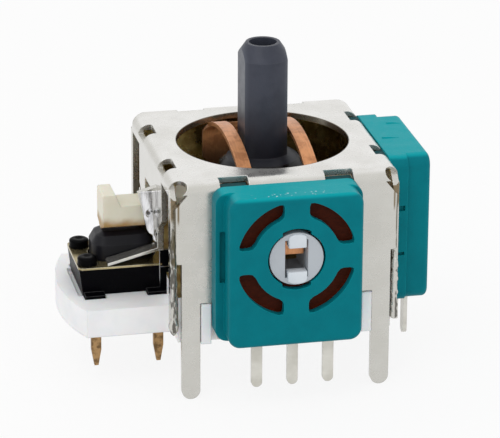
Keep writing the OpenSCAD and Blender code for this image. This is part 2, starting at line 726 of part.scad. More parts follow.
module return_spring() {
    sides = 8;
    steps = 20;
    n = spring_turns * steps;
    low = floor_t + wire_d / 2;
    high = spring_top - wire_d / 2;
    rings = [for (i = [0:n]) wire_ring(360 * i / steps, low + (high - low) * i / n, sides)];
    points = [for (ring = rings) each ring];
    color([0.7, 0.7, 0.7])
    polyhedron(points, concat(
        [[for (k = [0:sides - 1]) k]],
        [for (i = [0:n - 1], k = [0:sides - 1]) let (j = (k + 1) % sides)
            [i * sides + k, (i + 1) * sides + k, (i + 1) * sides + j, i * sides + j]],
        [[for (k = [sides - 1:-1:0]) n * sides + k]]));
}

module switch_body() {
    color([0.07, 0.07, 0.08])
    difference() {
        union() {
            plate_y(-switch_w / 2, switch_w / 2)
                polygon([[-switch_reach, body_top], [-switch_reach + switch_l, body_top],
                         [-switch_reach + switch_l, switch_low], [-switch_reach + 0.25, switch_low]]);
            switch_feet(0, switch_low, switch_low + foot_h);
            for (y = [-1, 1]) translate([-stake_x, y * (switch_w / 2 - stake_inset), body_top - 0.1])
                cylinder(d = stake_d, h = cover_t + stake_h + 0.1);
        }
        translate([-button_x, 0, switch_low + switch_floor])
            linear_extrude(switch_top) button_outline(button_rim + 2 * seat);
    }
}

// plan of the button, larger all round by grow
module button_outline(grow) {
    round_rect(-button_l / 2 - grow, button_l / 2 + grow, -button_w / 2 - grow, button_w / 2 + grow,
               1 + grow);
}

module switch_cover() {
    color([0.80, 0.80, 0.78])
    difference() {
        translate([0, 0, body_top]) linear_extrude(cover_t)
            round_rect(-switch_reach - 0.05, -switch_reach + switch_l, -switch_w / 2 - 0.05,
                       switch_w / 2 + 0.05, 0.4);
        translate([-button_x, 0, 0]) linear_extrude(can_top) button_outline(2 * seat);
        for (y = [-1, 1]) translate([-stake_x, y * (switch_w / 2 - stake_inset), 0])
            cylinder(d = stake_d + 0.04, h = can_top);
    }
}

module switch_button() {
    color([0.06, 0.06, 0.07])
    translate([-button_x, 0, 0]) {
        translate([0, 0, body_top - 0.35 - press]) linear_extrude(0.3 + press) button_outline(button_rim);
        hull() {
            translate([0, 0, body_top - 0.2])
                linear_extrude(button_top - body_top + 0.2 - button_round) button_outline(0);
            translate([0, 0, body_top]) {
                linear_extrude(button_top - body_top - 0.3 * button_round)
                    button_outline(-0.4 * button_round);
                linear_extrude(button_top - body_top) button_outline(-button_round);
            }
        }
    }
}

module switch_dome() {
    color([0.8, 0.8, 0.75])
    translate([-button_x, 0, switch_low + switch_floor])
        cylinder(d1 = 0.9 * button_w, d2 = 0.55 * button_w, h = dome_h);
}

module switch_terminals() {
    w = leg_pin_w / 2;
    color([0.66, 0.50, 0.31])
    for (x = [-1, 1], y = [-1, 1])
        translate([-leg_x + x * leg_pitch_x / 2, y * leg_pitch_y / 2, 0]) {
            plate_y(-pin_t / 2, pin_t / 2)
                polygon([[-w, switch_low], [w, switch_low], [w, -switch_drop + pin_taper],
                         [0.4 * w, -switch_drop], [-0.4 * w, -switch_drop],
                         [-w, -switch_drop + pin_taper]]);
        }
}

metal_can();
base();
front_pot_housing();
front_resistor_plate();
front_pot_terminals();
front_rotor();
front_wiper();
right_pot_housing();
right_resistor_plate();
right_pot_terminals();
right_rotor();
right_wiper();
gimbal_arch();
lower_gimbal();
stem();
stem_pin();
spring_plate();
return_spring();
switch_body();
switch_cover();
switch_button();
switch_dome();
switch_terminals();
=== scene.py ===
"""Looks of the controller analog stick: finishes, small details, studio and camera."""
import logging
import math
from dataclasses import dataclass, field
from enum import Enum
from typing import Iterable, Sequence

import bmesh
import bpy
from mathutils import Matrix, Vector


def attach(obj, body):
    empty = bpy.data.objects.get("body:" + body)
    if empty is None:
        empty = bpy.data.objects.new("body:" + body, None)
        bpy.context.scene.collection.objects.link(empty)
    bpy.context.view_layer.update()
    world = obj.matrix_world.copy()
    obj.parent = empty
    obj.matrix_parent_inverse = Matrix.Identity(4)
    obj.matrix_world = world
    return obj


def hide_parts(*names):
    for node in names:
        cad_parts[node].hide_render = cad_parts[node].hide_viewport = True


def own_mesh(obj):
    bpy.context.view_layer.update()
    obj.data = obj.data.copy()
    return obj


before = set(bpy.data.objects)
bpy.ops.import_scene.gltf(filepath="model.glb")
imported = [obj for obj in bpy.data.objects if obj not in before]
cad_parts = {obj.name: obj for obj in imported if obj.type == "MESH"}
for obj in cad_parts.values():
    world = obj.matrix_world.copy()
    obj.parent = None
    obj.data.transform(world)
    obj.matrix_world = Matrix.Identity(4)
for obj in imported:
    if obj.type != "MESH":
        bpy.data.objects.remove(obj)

log = logging.getLogger("analog_stick")
MM = 0.001
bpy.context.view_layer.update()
Colour = tuple[float, float, float]
Point = tuple[float, float, float]


def srgb(red: int, green: int, blue: int) -> Colour:
    """Turns a colour read on a 0 to 255 scale into linear light.

    Args:
        red: Red, 0 to 255.
        green: Green, 0 to 255.
        blue: Blue, 0 to 255.

    Returns:
        The linear colour.
    """
    def linear(value: int) -> float:
        """Gives one channel in linear light."""
        part = value / 255
        return part / 12.92 if part <= 0.04045 else ((part + 0.055) / 1.055) ** 2.4
    return linear(red), linear(green), linear(blue)


class Side(Enum):
    """Which of the two potentiometers."""

    FRONT = "front"
    RIGHT = "right"


class Wrap:
    """A shader socket that takes part in Python arithmetic."""

    def __init__(self, shader: "Shader", socket: bpy.types.NodeSocket) -> None:
        """Keeps the socket and the shader that it belongs to."""
        self.shader = shader
        self.socket = socket

    def math(self, operation: str, *others: "Wrap | float", clamp: bool = False) -> "Wrap":
        """Adds a Math node after this value.

        Args:
            operation: The node's operation.
            others: The other values that it takes.
            clamp: Whether the result is kept between 0 and 1.

        Returns:
            The wrapped result.
        """
        values = {0: self, **{i + 1: other for i, other in enumerate(others)}}
        node = self.shader.node("ShaderNodeMath", {"operation": operation, "use_clamp": clamp}, values)
        return Wrap(self.shader, node.outputs[0])

    def reflected(self, operation: str, other: float) -> "Wrap":
        """Adds a Math node that takes a number first and this value second."""
        node = self.shader.node("ShaderNodeMath", {"operation": operation}, {0: other, 1: self})
        return Wrap(self.shader, node.outputs[0])

    def __add__(self, other: "Wrap | float") -> "Wrap":
        """Adds."""
        return self.math("ADD", other)

    __radd__ = __add__

    def __sub__(self, other: "Wrap | float") -> "Wrap":
        """Subtracts."""
        return self.math("SUBTRACT", other)

    def __rsub__(self, other: float) -> "Wrap":
        """Subtracts this value from a number."""
        return self.reflected("SUBTRACT", other)

    def __mul__(self, other: "Wrap | float") -> "Wrap":
        """Multiplies."""
        return self.math("MULTIPLY", other)

    __rmul__ = __mul__

    def __pow__(self, other: float) -> "Wrap":
        """Raises to a power."""
        return self.math("POWER", other)

    def __abs__(self) -> "Wrap":
        """Drops the sign."""
        return self.math("ABSOLUTE")

    def step(self, low: float, high: float) -> "Wrap":
        """Rises smoothly from 0 at low to 1 at high, or falls where low is the larger.

        Args:
            low: The value that gives 0.
            high: The value that gives 1.

        Returns:
            The wrapped result.
        """
        first, last = (low, high) if low < high else (high, low)
        ends = (0.0, 1.0) if low < high else (1.0, 0.0)
        node = self.shader.node(
            "ShaderNodeMapRange", {"interpolation_type": "SMOOTHSTEP"},
            {"Value": self, "From Min": first, "From Max": last, "To Min": ends[0], "To Max": ends[1]})
        return Wrap(self.shader, node.outputs[0])


class Shader:
    """One material, built from Python expressions."""

    def __init__(self, name: str) -> None:
        """Starts an empty material with its output node.

        Args:
            name: The material's name.
        """
        self.material = bpy.data.materials.new(name)
        self.material.use_nodes = True
        self.tree = self.material.node_tree
        self.tree.nodes.clear()
        self.output = self.tree.nodes.new("ShaderNodeOutputMaterial")
        self._place: Wrap | None = None

    def node(self, kind: str, settings: dict | None = None, inputs: dict | None = None) -> bpy.types.Node:
        """Adds any node.

        Args:
            kind: The node's type.
            settings: Its properties.
            inputs: Values or links for its sockets, by name or by number.

        Returns:
            The node.
        """
        made = self.tree.nodes.new(kind)
        for key, value in (settings or {}).items():
            setattr(made, key, value)
        for key, value in (inputs or {}).items():
            socket = made.inputs[key]
            if isinstance(value, Wrap):
                self.tree.links.new(value.socket, socket)
            elif isinstance(value, bpy.types.NodeSocket):
                self.tree.links.new(value, socket)
            elif isinstance(value, tuple) and socket.type == "RGBA" and len(value) == 3:
                socket.default_value = (*value, 1.0)
            else:
                socket.default_value = value
        return made

    @property
    def place(self) -> Wrap:
        """The point on the object, in millimetres."""
        if self._place is None:
            where = self.node("ShaderNodeTexCoord")
            scaled = self.node("ShaderNodeVectorMath", {"operation": "SCALE"},
                               {0: where.outputs["Object"], "Scale": 1 / MM})
            self._place = Wrap(self, scaled.outputs[0])
        return self._place

    def axes(self) -> tuple[Wrap, Wrap, Wrap]:
        """Gives the point's X, Y and Z in millimetres."""
        split = self.node("ShaderNodeSeparateXYZ", None, {0: self.place})
        return tuple(Wrap(self, split.outputs[i]) for i in range(3))

    def stretched(self, stretch: Point, shift: float) -> Wrap:
        """Gives the point scaled along each axis and shifted, for a pattern.

        Args:
            stretch: The factor along each axis.
            shift: How far the pattern is moved, so that two don't fall together.

        Returns:
            The wrapped vector.
        """
        scaled = self.node("ShaderNodeVectorMath", {"operation": "MULTIPLY_ADD"},
                           {0: self.place, 1: stretch, 2: (shift, shift * 0.7, -shift)})
        return Wrap(self, scaled.outputs[0])

    def noise(self, per_mm: float, detail: float = 2.0, rough: float = 0.5,
              stretch: Point = (1.0, 1.0, 1.0), shift: float = 0.0) -> Wrap:
        """Adds a noise pattern.

        Args:
            per_mm: Its scale, in waves per millimetre.
            detail: Its finer layers.
            rough: How strong these are.
            stretch: The factor along each axis.
            shift: How far it is moved.

        Returns:
            A value of about 0.3 to 0.7.
        """
        node = self.node("ShaderNodeTexNoise", {"noise_dimensions": "3D"},
                         {"Vector": self.stretched(stretch, shift), "Scale": per_mm,
                          "Detail": detail, "Roughness": rough})
        return Wrap(self, node.outputs[0])

    def mix(self, factor: "Wrap | float", low: "Wrap | Colour", high: "Wrap | Colour") -> Wrap:
        """Mixes two colours.

        Args:
            factor: 0 for the first colour, 1 for the second.
            low: The first colour.
            high: The second colour.

        Returns:
            The wrapped colour.
        """
        node = self.node("ShaderNodeMix", {"data_type": "RGBA"}, {0: factor, 6: low, 7: high})
        return Wrap(self, node.outputs[2])

    def edges(self, radius_mm: float) -> tuple[Wrap, Wrap]:
        """Rounds the sharp edges for the light, and finds them.

        Args:
            radius_mm: The radius of the rounding.

        Returns:
            The rounded normal, and a mask that is 1 along the edges.
        """
        soft = self.node("ShaderNodeBevel", {"samples": 6}, {"Radius": radius_mm * MM})
        true = self.node("ShaderNodeNewGeometry")
        dot = self.node("ShaderNodeVectorMath", {"operation": "DOT_PRODUCT"},
                        {0: soft.outputs[0], 1: true.outputs["Normal"]})
        mask = Wrap(self, dot.outputs["Value"]).step(0.985, 0.80)
        return Wrap(self, soft.outputs[0]), mask


@dataclass(frozen=True)
class Finish:
    """A surface finish: its colour, gloss and fine relief."""

    name: str
    colour: Colour
    dark: Colour
    rough: float = 0.5
    metallic: float = 0.0
    coat: float = 0.0
    specular: float = 0.5
    scatter: float = 0.0
    edge_mm: float = 0.07
    relief_mm: float = 0.004

    def paint(self, shader: Shader, edge: Wrap) -> Wrap:
        """Gives the base colour, with soft mottling."""
        patch = shader.noise(0.35, 4.0, 0.6, shift=3.0).step(0.35, 0.68)
        base = shader.mix(patch * 0.55, self.colour, self.dark)
        return shader.mix(edge * 0.25, base, self.lighter(0.35))

    def gloss(self, shader: Shader, edge: Wrap) -> Wrap:
        """Gives the roughness."""
        return self.rough + (shader.noise(1.3, 3.0, shift=9.0) - 0.5) * 0.25

    def relief(self, shader: Shader, edge: Wrap) -> Wrap:
        """Gives the fine height pattern, from 0 to 1."""
        return shader.noise(9.0, 3.0, 0.6, shift=5.0)

    def lighter(self, amount: float) -> Colour:
        """Gives the finish's colour mixed with white by an amount."""
        return tuple(part + (1 - part) * amount for part in self.colour)

    def build(self) -> bpy.types.Material:
        """Makes the material."""
        shader = Shader(self.name)
        rounded, edge = shader.edges(self.edge_mm)
        bump = shader.node("ShaderNodeBump", None,
                           {"Height": self.relief(shader, edge), "Distance": self.relief_mm * MM,
                            "Strength": 1.0, "Normal": rounded})
        gloss = self.gloss(shader, edge).math("MAXIMUM", 0.08).math("MINIMUM", 0.95)
        surface = shader.node("ShaderNodeBsdfPrincipled", None, {
            "Base Color": self.paint(shader, edge), "Roughness": gloss, "Metallic": self.metallic,
            "Specular IOR Level": self.specular, "Coat Weight": self.coat, "Coat Roughness": 0.2,
            "Subsurface Weight": self.scatter, "Subsurface Scale": 0.4 * MM,
            "Normal": bump.outputs[0]})
        shader.tree.links.new(surface.outputs[0], shader.output.inputs["Surface"])
        return shader.material


@dataclass(frozen=True)
class TinPlate(Finish):
    """Tinned sheet: drawing lines, clouded tin and bright cut edges; on the can also painted shade on its walls,
    corner seams, end faces and opening edge, and an olive-brown painted shade and copper reflection inside.
    """

    lines: Point = (0.25, 0.25, 6.0)
    # The colour painted inside the can as painted shade and copper reflection; None leaves out all of the can's
    # painted shade.
    inside: Colour | None = None
    inside_half: float = 7.56
    inside_top: float = 11.28
    corner: float = 7.66
    opening: float = 6.12
    polished: float = 7.99
    notch: float = 5.6

    def paint(self, shader: Shader, edge: Wrap) -> Wrap:
        """Gives clouded tin, darker specks, and, on the can, painted shade: walls darker than the top, corner seams,
        side walls' end faces, the opening's edge, and the olive-brown inside that also stands in for copper
        reflection.
        """
        cloud = shader.noise(0.45, 4.0, 0.55, shift=2.0).step(0.32, 0.7)
        line = shader.noise(1.1, 2.0, 0.6, self.lines, 4.0).step(0.35, 0.7)
        speck = shader.noise(5.0, 2.0, 0.5, shift=8.0).step(0.70, 0.78)
        base = shader.mix(cloud * 0.5, self.colour, self.dark)
        base = shader.mix(line * 0.16, base, self.dark)
        base = shader.mix(speck * 0.35, base, srgb(140, 137, 128))
        base = shader.mix(edge * 0.5, base, srgb(246, 246, 245))
        if self.inside is None:
            return base
        x, y, z = shader.axes()
        # Painted shade: the walls below the top are painted darker than the top face.
        wall = z.step(self.inside_top + 0.35, self.inside_top + 0.1)
        base = shader.mix(wall * 0.62, base, srgb(188, 186, 178))
        # Painted shade: dark streaks down the corner seams, and olive-brown shade in them above the notch.
        streak = shader.noise(1.5, 3.0, 0.6, (2.6, 2.6, 0.28), 11.0).step(0.46, 0.54)
        upper = z.step(self.notch - 0.2, self.notch + 0.2)
        small, large = abs(x).math("MINIMUM", abs(y)), abs(x).math("MAXIMUM", abs(y))
        corner = small.step(self.corner, self.corner + 0.1)
        base = shader.mix(corner * wall * streak * 0.85, base, srgb(66, 62, 54))
        seam_shade_noise = shader.noise(2.2, 2.0, 0.6, (1.0, 1.0, 0.6), 31.0).step(0.36, 0.46)
        base = shader.mix(corner * wall * upper * seam_shade_noise * 0.8, base, srgb(92, 84, 62))
        # Painted shade: olive-brown on the end faces of the side walls, high up.
        end_face_shade = small.step(7.40, 7.44) * small.step(7.62, 7.58) * large.step(7.99, 7.96) * z.step(8.6, 9.2)
        base = shader.mix(end_face_shade * 0.85, base, srgb(112, 92, 54))
        # Painted shade round the edge of the top opening.
        radius = (x * x + y * y) ** 0.5
        base = shader.mix(radius.step(self.opening, self.opening - 0.08) * 0.8, base, srgb(86, 76, 52))
        # Painted shade and copper reflection: the inside of the can is painted olive-brown.
        within = (abs(x).math("MAXIMUM", abs(y))).math("LESS_THAN", self.inside_half)
        within = within * z.math("LESS_THAN", self.inside_top)
        patch = shader.noise(0.7, 4.0, 0.6, shift=15.0).step(0.40, 0.66)
        inside_shade = shader.mix(patch, self.inside, srgb(190, 172, 120))
        return shader.mix(within, base, inside_shade)

    def gloss(self, shader: Shader, edge: Wrap) -> Wrap:
        """Gives clouded gloss."""
        base = self.rough + (shader.noise(0.9, 4.0, 0.6, shift=6.0) - 0.5) * 0.35 - edge * 0.08
        if self.inside is None:
            return base
        x, _, _ = shader.axes()
        return base - abs(x).step(self.polished - 0.06, self.polished) * 0.16

    def relief(self, shader: Shader, edge: Wrap) -> Wrap:
        """Gives drawing lines and a slight waviness."""
        return shader.noise(2.5, 3.0, 0.6, self.lines, 1.0) * 0.5 + shader.noise(0.8, 2.0, shift=7.0)


@dataclass(frozen=True)
class CurledTin(TinPlate):
    """Bright drawn tin of the finger's curl, with painted shade in its dimples and low down along its sides."""

    def paint(self, shader: Shader, edge: Wrap) -> Wrap:
        """Gives the bright tin, its streaks, and the painted shade in the dimples and low on the sides."""
        x, y, z = shader.axes()
        streak = shader.noise(1.4, 3.0, 0.6, (2.4, 1.0, 0.35), 17.0).step(0.44, 0.58)
        base = shader.mix(streak * 0.45, self.colour, self.dark)
        # Painted shade in the three dimples.
        for across, up, size in ((-8.58, 7.70, 0.17), (-8.12, 7.76, 0.16), (-8.36, 7.86, 0.10)):
            far = ((x - across) ** 2.0 + (z - up) ** 2.0) ** 0.5
            base = shader.mix(far.step(size, size * 0.55) * 0.85, base, srgb(46, 48, 50))
        # Painted shade low down on both sides of the curl.
        low = z.step(7.5, 6.9)
        side = abs(x + 8.33).step(0.22, 0.42)
        base = shader.mix(low * side * 0.45, base, srgb(84, 84, 84))
        return shader.mix(edge * 0.6, base, srgb(250, 250, 250))


@dataclass(frozen=True)
class TealPlastic(Finish):
    """Teal moulding with painted light along the top, the gate's scuffs at the top front edge and painted shade on
    the hooks in the slots.
    """

    # The paler teal painted on the top face as painted light; the edges are mixed towards it too.
    top: Colour = (0.0, 0.0, 0.0)
    top_z: float = 11.35
    front: float = 11.0
    gate: float = 2.8

    def paint(self, shader: Shader, edge: Wrap) -> Wrap:
        """Gives the teal, its paler edges, the painted light on the top, the pale scuffs and the painted shade on the
        hooks.
        """
        x, y, z = shader.axes()
        patch = shader.noise(0.4, 4.0, 0.6, shift=3.0).step(0.3, 0.7)
        base = shader.mix(patch * 0.5, self.colour, self.dark)
        base = shader.mix(edge * 0.45, base, self.top)
        # Painted light: the top face is painted paler teal.
        base = shader.mix(z.step(self.top_z - 0.25, self.top_z - 0.02) * 0.8, base, self.top)
        band = (0.0 - y).step(self.front - 1.1, self.front - 0.9) * (0.0 - y).step(self.front - 0.3, self.front - 0.5)
        band = band * z.step(self.top_z - 0.2, self.top_z - 0.05)
        along = abs(x + 0.3).step(self.gate, self.gate - 0.3)
        fleck = shader.noise(4.0, 2.0, 0.5, shift=12.0).step(0.62, 0.67)
        base = shader.mix(band * along * fleck * 0.85, base, srgb(205, 226, 224))
        # Painted shade: the hooks inside the can's slots are painted nearly black teal.
        reach = (0.0 - y).math("MAXIMUM", x)
        return shader.mix(reach.step(8.02, 7.94) * 0.85, base, srgb(4, 30, 34))

    def relief(self, shader: Shader, edge: Wrap) -> Wrap:
        """Gives the spark-eroded grain of the mould."""
        return shader.noise(11.0, 4.0, 0.65, shift=5.0) + shader.noise(1.2, 2.0, shift=2.0) * 0.8


@dataclass(frozen=True)
class CreamPlastic(Finish):
    """Natural moulding, with amber painted shade towards its underside."""

    # The amber painted shade of the underside.
    low: Colour = (0.0, 0.0, 0.0)
    low_z: float = 6.35
    high_z: float = 7.1

    def paint(self, shader: Shader, edge: Wrap) -> Wrap:
        """Gives the cream and the amber painted shade of the underside."""
        _, _, z = shader.axes()
        # Painted shade: amber towards the underside, along a wavering height.
        shade_height = z + (shader.noise(0.9, 3.0, shift=2.0) - 0.5) * 0.7
        base = shader.mix(shade_height.step(self.high_z, self.low_z), self.colour, self.low)
        cloud = shader.noise(0.6, 3.0, shift=4.0).step(0.35, 0.7)
        base = shader.mix(cloud * 0.3, base, self.dark)
        return shader.mix(edge * 0.35, base, self.lighter(0.4))


@dataclass(frozen=True)
class WhitePlastic(Finish):
    """White moulding, with brown painted shade and reflection where it lies inside the can."""

    within: float = 7.47
    floor: float = 3.1

    def paint(self, shader: Shader, edge: Wrap) -> Wrap:
        """Gives the white, and the brown painted shade and reflection on its upper face inside the can."""
        white = super().paint(shader, edge)
        x, y, z = shader.axes()
        # Painted shade and reflection: the upper face inside the can is painted brown.
        inside = (abs(x).math("MAXIMUM", abs(y))).math("LESS_THAN", self.within)
        inside = inside * z.math("GREATER_THAN", self.floor)
        patch = shader.noise(0.5, 3.0, 0.6, shift=21.0).step(0.35, 0.7)
        inside_shade = shader.mix(patch, srgb(126, 100, 52), srgb(176, 158, 104))
        return shader.mix(inside, white, inside_shade)


@dataclass(frozen=True)
class StemPlastic(Finish):
    """Dark grey moulding, with painted light on its side flats and painted shade towards its foot, and its nearly
    black glossy dome below.
    """

    low: Colour = (0.0, 0.0, 0.0)
    low_z: float = 10.5

    def below(self, shader: Shader) -> Wrap:
        """Gives 1 on the dome."""
        _, _, z = shader.axes()
        return z.step(self.low_z + 0.05, self.low_z - 0.05)

    def paint(self, shader: Shader, edge: Wrap) -> Wrap:
        """Gives the grey moulding with its painted light and painted shade, and the black dome."""
        upper = super().paint(shader, edge)
        x, _, z = shader.axes()
        # Painted light: the side flats are painted lighter grey.
        upper = shader.mix(abs(x).step(1.2, 1.7) * 0.4, upper, srgb(112, 118, 128))
        # Painted shade: the stem is painted darker towards its foot.
        upper = shader.mix(z.step(16.0, 11.4) * 0.75, upper, srgb(18, 18, 24))
        return shader.mix(self.below(shader), upper, self.low)

    def gloss(self, shader: Shader, edge: Wrap) -> Wrap:
        """Gives the matt moulding and the glossy dome."""
        return super().gloss(shader, edge) - self.below(shader) * 0.2


@dataclass(frozen=True)
class CopperSheet(Finish):
    """Rolled copper-coloured sheet with bright edges, brown tarnish and painted shade on its legs inside the can."""

    def paint(self, shader: Shader, edge: Wrap) -> Wrap:
        """Gives the copper, its tarnish, its bright edges and the painted shade on its legs inside the can."""
        tarnish = shader.noise(1.1, 4.0, 0.68, shift=3.0).step(0.44, 0.62)
        line = shader.noise(2.0, 2.0, 0.6, (5.0, 0.3, 0.3), 5.0).step(0.4, 0.7)
        base = shader.mix(tarnish * 0.4, self.colour, self.dark)
        base = shader.mix(line * 0.25, base, self.dark)
        base = shader.mix(edge * 0.55, base, srgb(240, 190, 146))
        x, y, z = shader.axes()
        # Painted shade: the arch's legs are painted dark brown below the can's top.
        side = abs(y).step(5.45, 5.62) * (x * x + y * y).math("LESS_THAN", 46.0)
        return shader.mix(side * z.step(10.4, 8.6) * 0.85, base, srgb(40, 26, 12))

    def relief(self, shader: Shader, edge: Wrap) -> Wrap:
        """Gives the rolling lines."""
        return shader.noise(3.0, 3.0, 0.6, (5.0, 0.3, 0.3), 1.0)


@dataclass(frozen=True)
class BrassPin(Finish):
    """Brass pins with brown tarnish spots."""

    def paint(self, shader: Shader, edge: Wrap) -> Wrap:
        """Gives the brass and its tarnish."""
        spot = shader.noise(2.2, 4.0, 0.7, shift=3.0).step(0.42, 0.62)
        base = shader.mix(spot * 0.8, self.colour, self.dark)
        return shader.mix(edge * 0.4, base, srgb(205, 190, 168))


@dataclass(frozen=True)
class Phenolic(Finish):
    """Phenolic laminate with its printed carbon track and a bare rim."""

    side: Side = Side.FRONT
    pivot: float = 6.9
    track_in: float = 2.95
    track_out: float = 3.95

    def paint(self, shader: Shader, edge: Wrap) -> Wrap:
        """Gives the laminate and the ring of the track."""
        x, y, z = shader.axes()
        flat = x if self.side is Side.FRONT else y
        radius = (flat * flat + (z - self.pivot) ** 2.0) ** 0.5
        ring = radius.step(self.track_in, self.track_in + 0.1) * radius.step(self.track_out + 0.1,
                                                                             self.track_out)
        fibre = shader.noise(2.2, 4.0, 0.7, (1.0, 1.0, 3.0), 2.0).step(0.35, 0.7)
        base = shader.mix(fibre * 0.7, self.colour, self.dark)
        return shader.mix(ring * 0.45, base, srgb(38, 12, 4))


@dataclass(frozen=True)
class Palette:
    """All finishes of the part."""

    # The tin's inside colour is painted shade and copper reflection inside the can.
    tin: Finish = TinPlate("tinned_can", srgb(230, 229, 226), srgb(206, 204, 198), rough=0.27,
                           metallic=0.88, edge_mm=0.09, relief_mm=0.006, inside=srgb(132, 112, 62))
    bright: Finish = CurledTin("bright_tin", srgb(232, 232, 234), srgb(120, 120, 124), rough=0.16,
                               metallic=0.92, edge_mm=0.04, relief_mm=0.012, lines=(3.0, 3.0, 0.5))
    tin_small: Finish = TinPlate("tinned_terminals", srgb(222, 220, 212), srgb(172, 168, 156), rough=0.36,
                                 metallic=0.7, edge_mm=0.05, relief_mm=0.012, lines=(0.5, 0.5, 2.0))
    cover: Finish = TinPlate("switch_cover_tin", srgb(190, 176, 134), srgb(84, 74, 46), rough=0.22,
                             metallic=0.85, edge_mm=0.06, relief_mm=0.008, lines=(2.0, 0.4, 0.4))
    white: Finish = WhitePlastic("white_moulding", srgb(250, 250, 251), srgb(236, 238, 241), rough=0.5,
                           scatter=0.15, edge_mm=0.15)
    # top is the paler teal painted on the housings' top face as painted light.
    teal: Finish = TealPlastic("teal_moulding", srgb(0, 120, 131), srgb(0, 104, 116), rough=0.42,
                               specular=0.07, edge_mm=0.12, relief_mm=0.014, top=srgb(0, 166, 174))
    # low is the amber painted shade on the lever's underside.
    cream: Finish = CreamPlastic("cream_moulding", srgb(232, 228, 210), srgb(214, 208, 180), rough=0.45,
                                 scatter=0.2, edge_mm=0.12, low=srgb(170, 132, 70))
    stem: Finish = StemPlastic("stem_moulding", srgb(66, 69, 80), srgb(44, 47, 57), rough=0.38, specular=0.2,
                               edge_mm=0.12, relief_mm=0.010, low=srgb(5, 6, 9))
    copper: Finish = CopperSheet("copper_sheet", srgb(216, 152, 104), srgb(134, 78, 44), rough=0.38,
                                 metallic=0.6, edge_mm=0.06, relief_mm=0.010)
    brass: Finish = BrassPin("brass_pins", srgb(178, 142, 96), srgb(92, 66, 38), rough=0.4, metallic=0.6,
                             edge_mm=0.05, relief_mm=0.02)
    pale: Finish = Finish("pale_moulding", srgb(214, 221, 227), srgb(196, 204, 212), rough=0.42, edge_mm=0.05)
    grey: Finish = Finish("grey_moulding", srgb(180, 186, 192), srgb(162, 168, 175), rough=0.42,
                          edge_mm=0.07)
    black: Finish = Finish("black_moulding", srgb(5, 5, 8), srgb(2, 2, 3), rough=0.34, specular=0.04, edge_mm=0.08,
                           relief_mm=0.010)
    button: Finish = Finish("button_moulding", srgb(22, 22, 28), srgb(12, 12, 16), rough=0.36, specular=0.2,
                            edge_mm=0.1, relief_mm=0.008)
    front_plate: Finish = Phenolic("front_phenolic", srgb(84, 30, 12), srgb(54, 16, 4), rough=0.45, specular=0.06,
                                   side=Side.FRONT)
    right_plate: Finish = Phenolic("right_phenolic", srgb(84, 30, 12), srgb(54, 16, 4), rough=0.45, specular=0.06,
                                   side=Side.RIGHT)
    steel: Finish = TinPlate("ground_steel", srgb(190, 188, 182), srgb(150, 148, 142), rough=0.3,
                             metallic=0.9, edge_mm=0.05, relief_mm=0.004)


class Stock:
    """Builds each material once and puts it on objects."""

    def __init__(self, palette: Palette) -> None:
        """Keeps the palette."""
        self.palette = palette
        self.made: dict[str, bpy.types.Material] = {}

    def material(self, finish: Finish) -> bpy.types.Material:
        """Gives the finish's material, made on first use."""
        if finish.name not in self.made:
            self.made[finish.name] = finish.build()
        return self.made[finish.name]

    def dress(self, node: str, finish: Finish) -> None:
        """Puts a finish on a CAD node.

        Args:
            node: The node's name.
            finish: The finish.
        """
        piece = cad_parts[node]
        material = self.material(finish)
        if not piece.material_slots:
            piece.data.materials.append(material)
        for place in piece.material_slots:
            place.link = "OBJECT"
            place.material = material
        log.info("dressed %s with %s", node, finish.name)


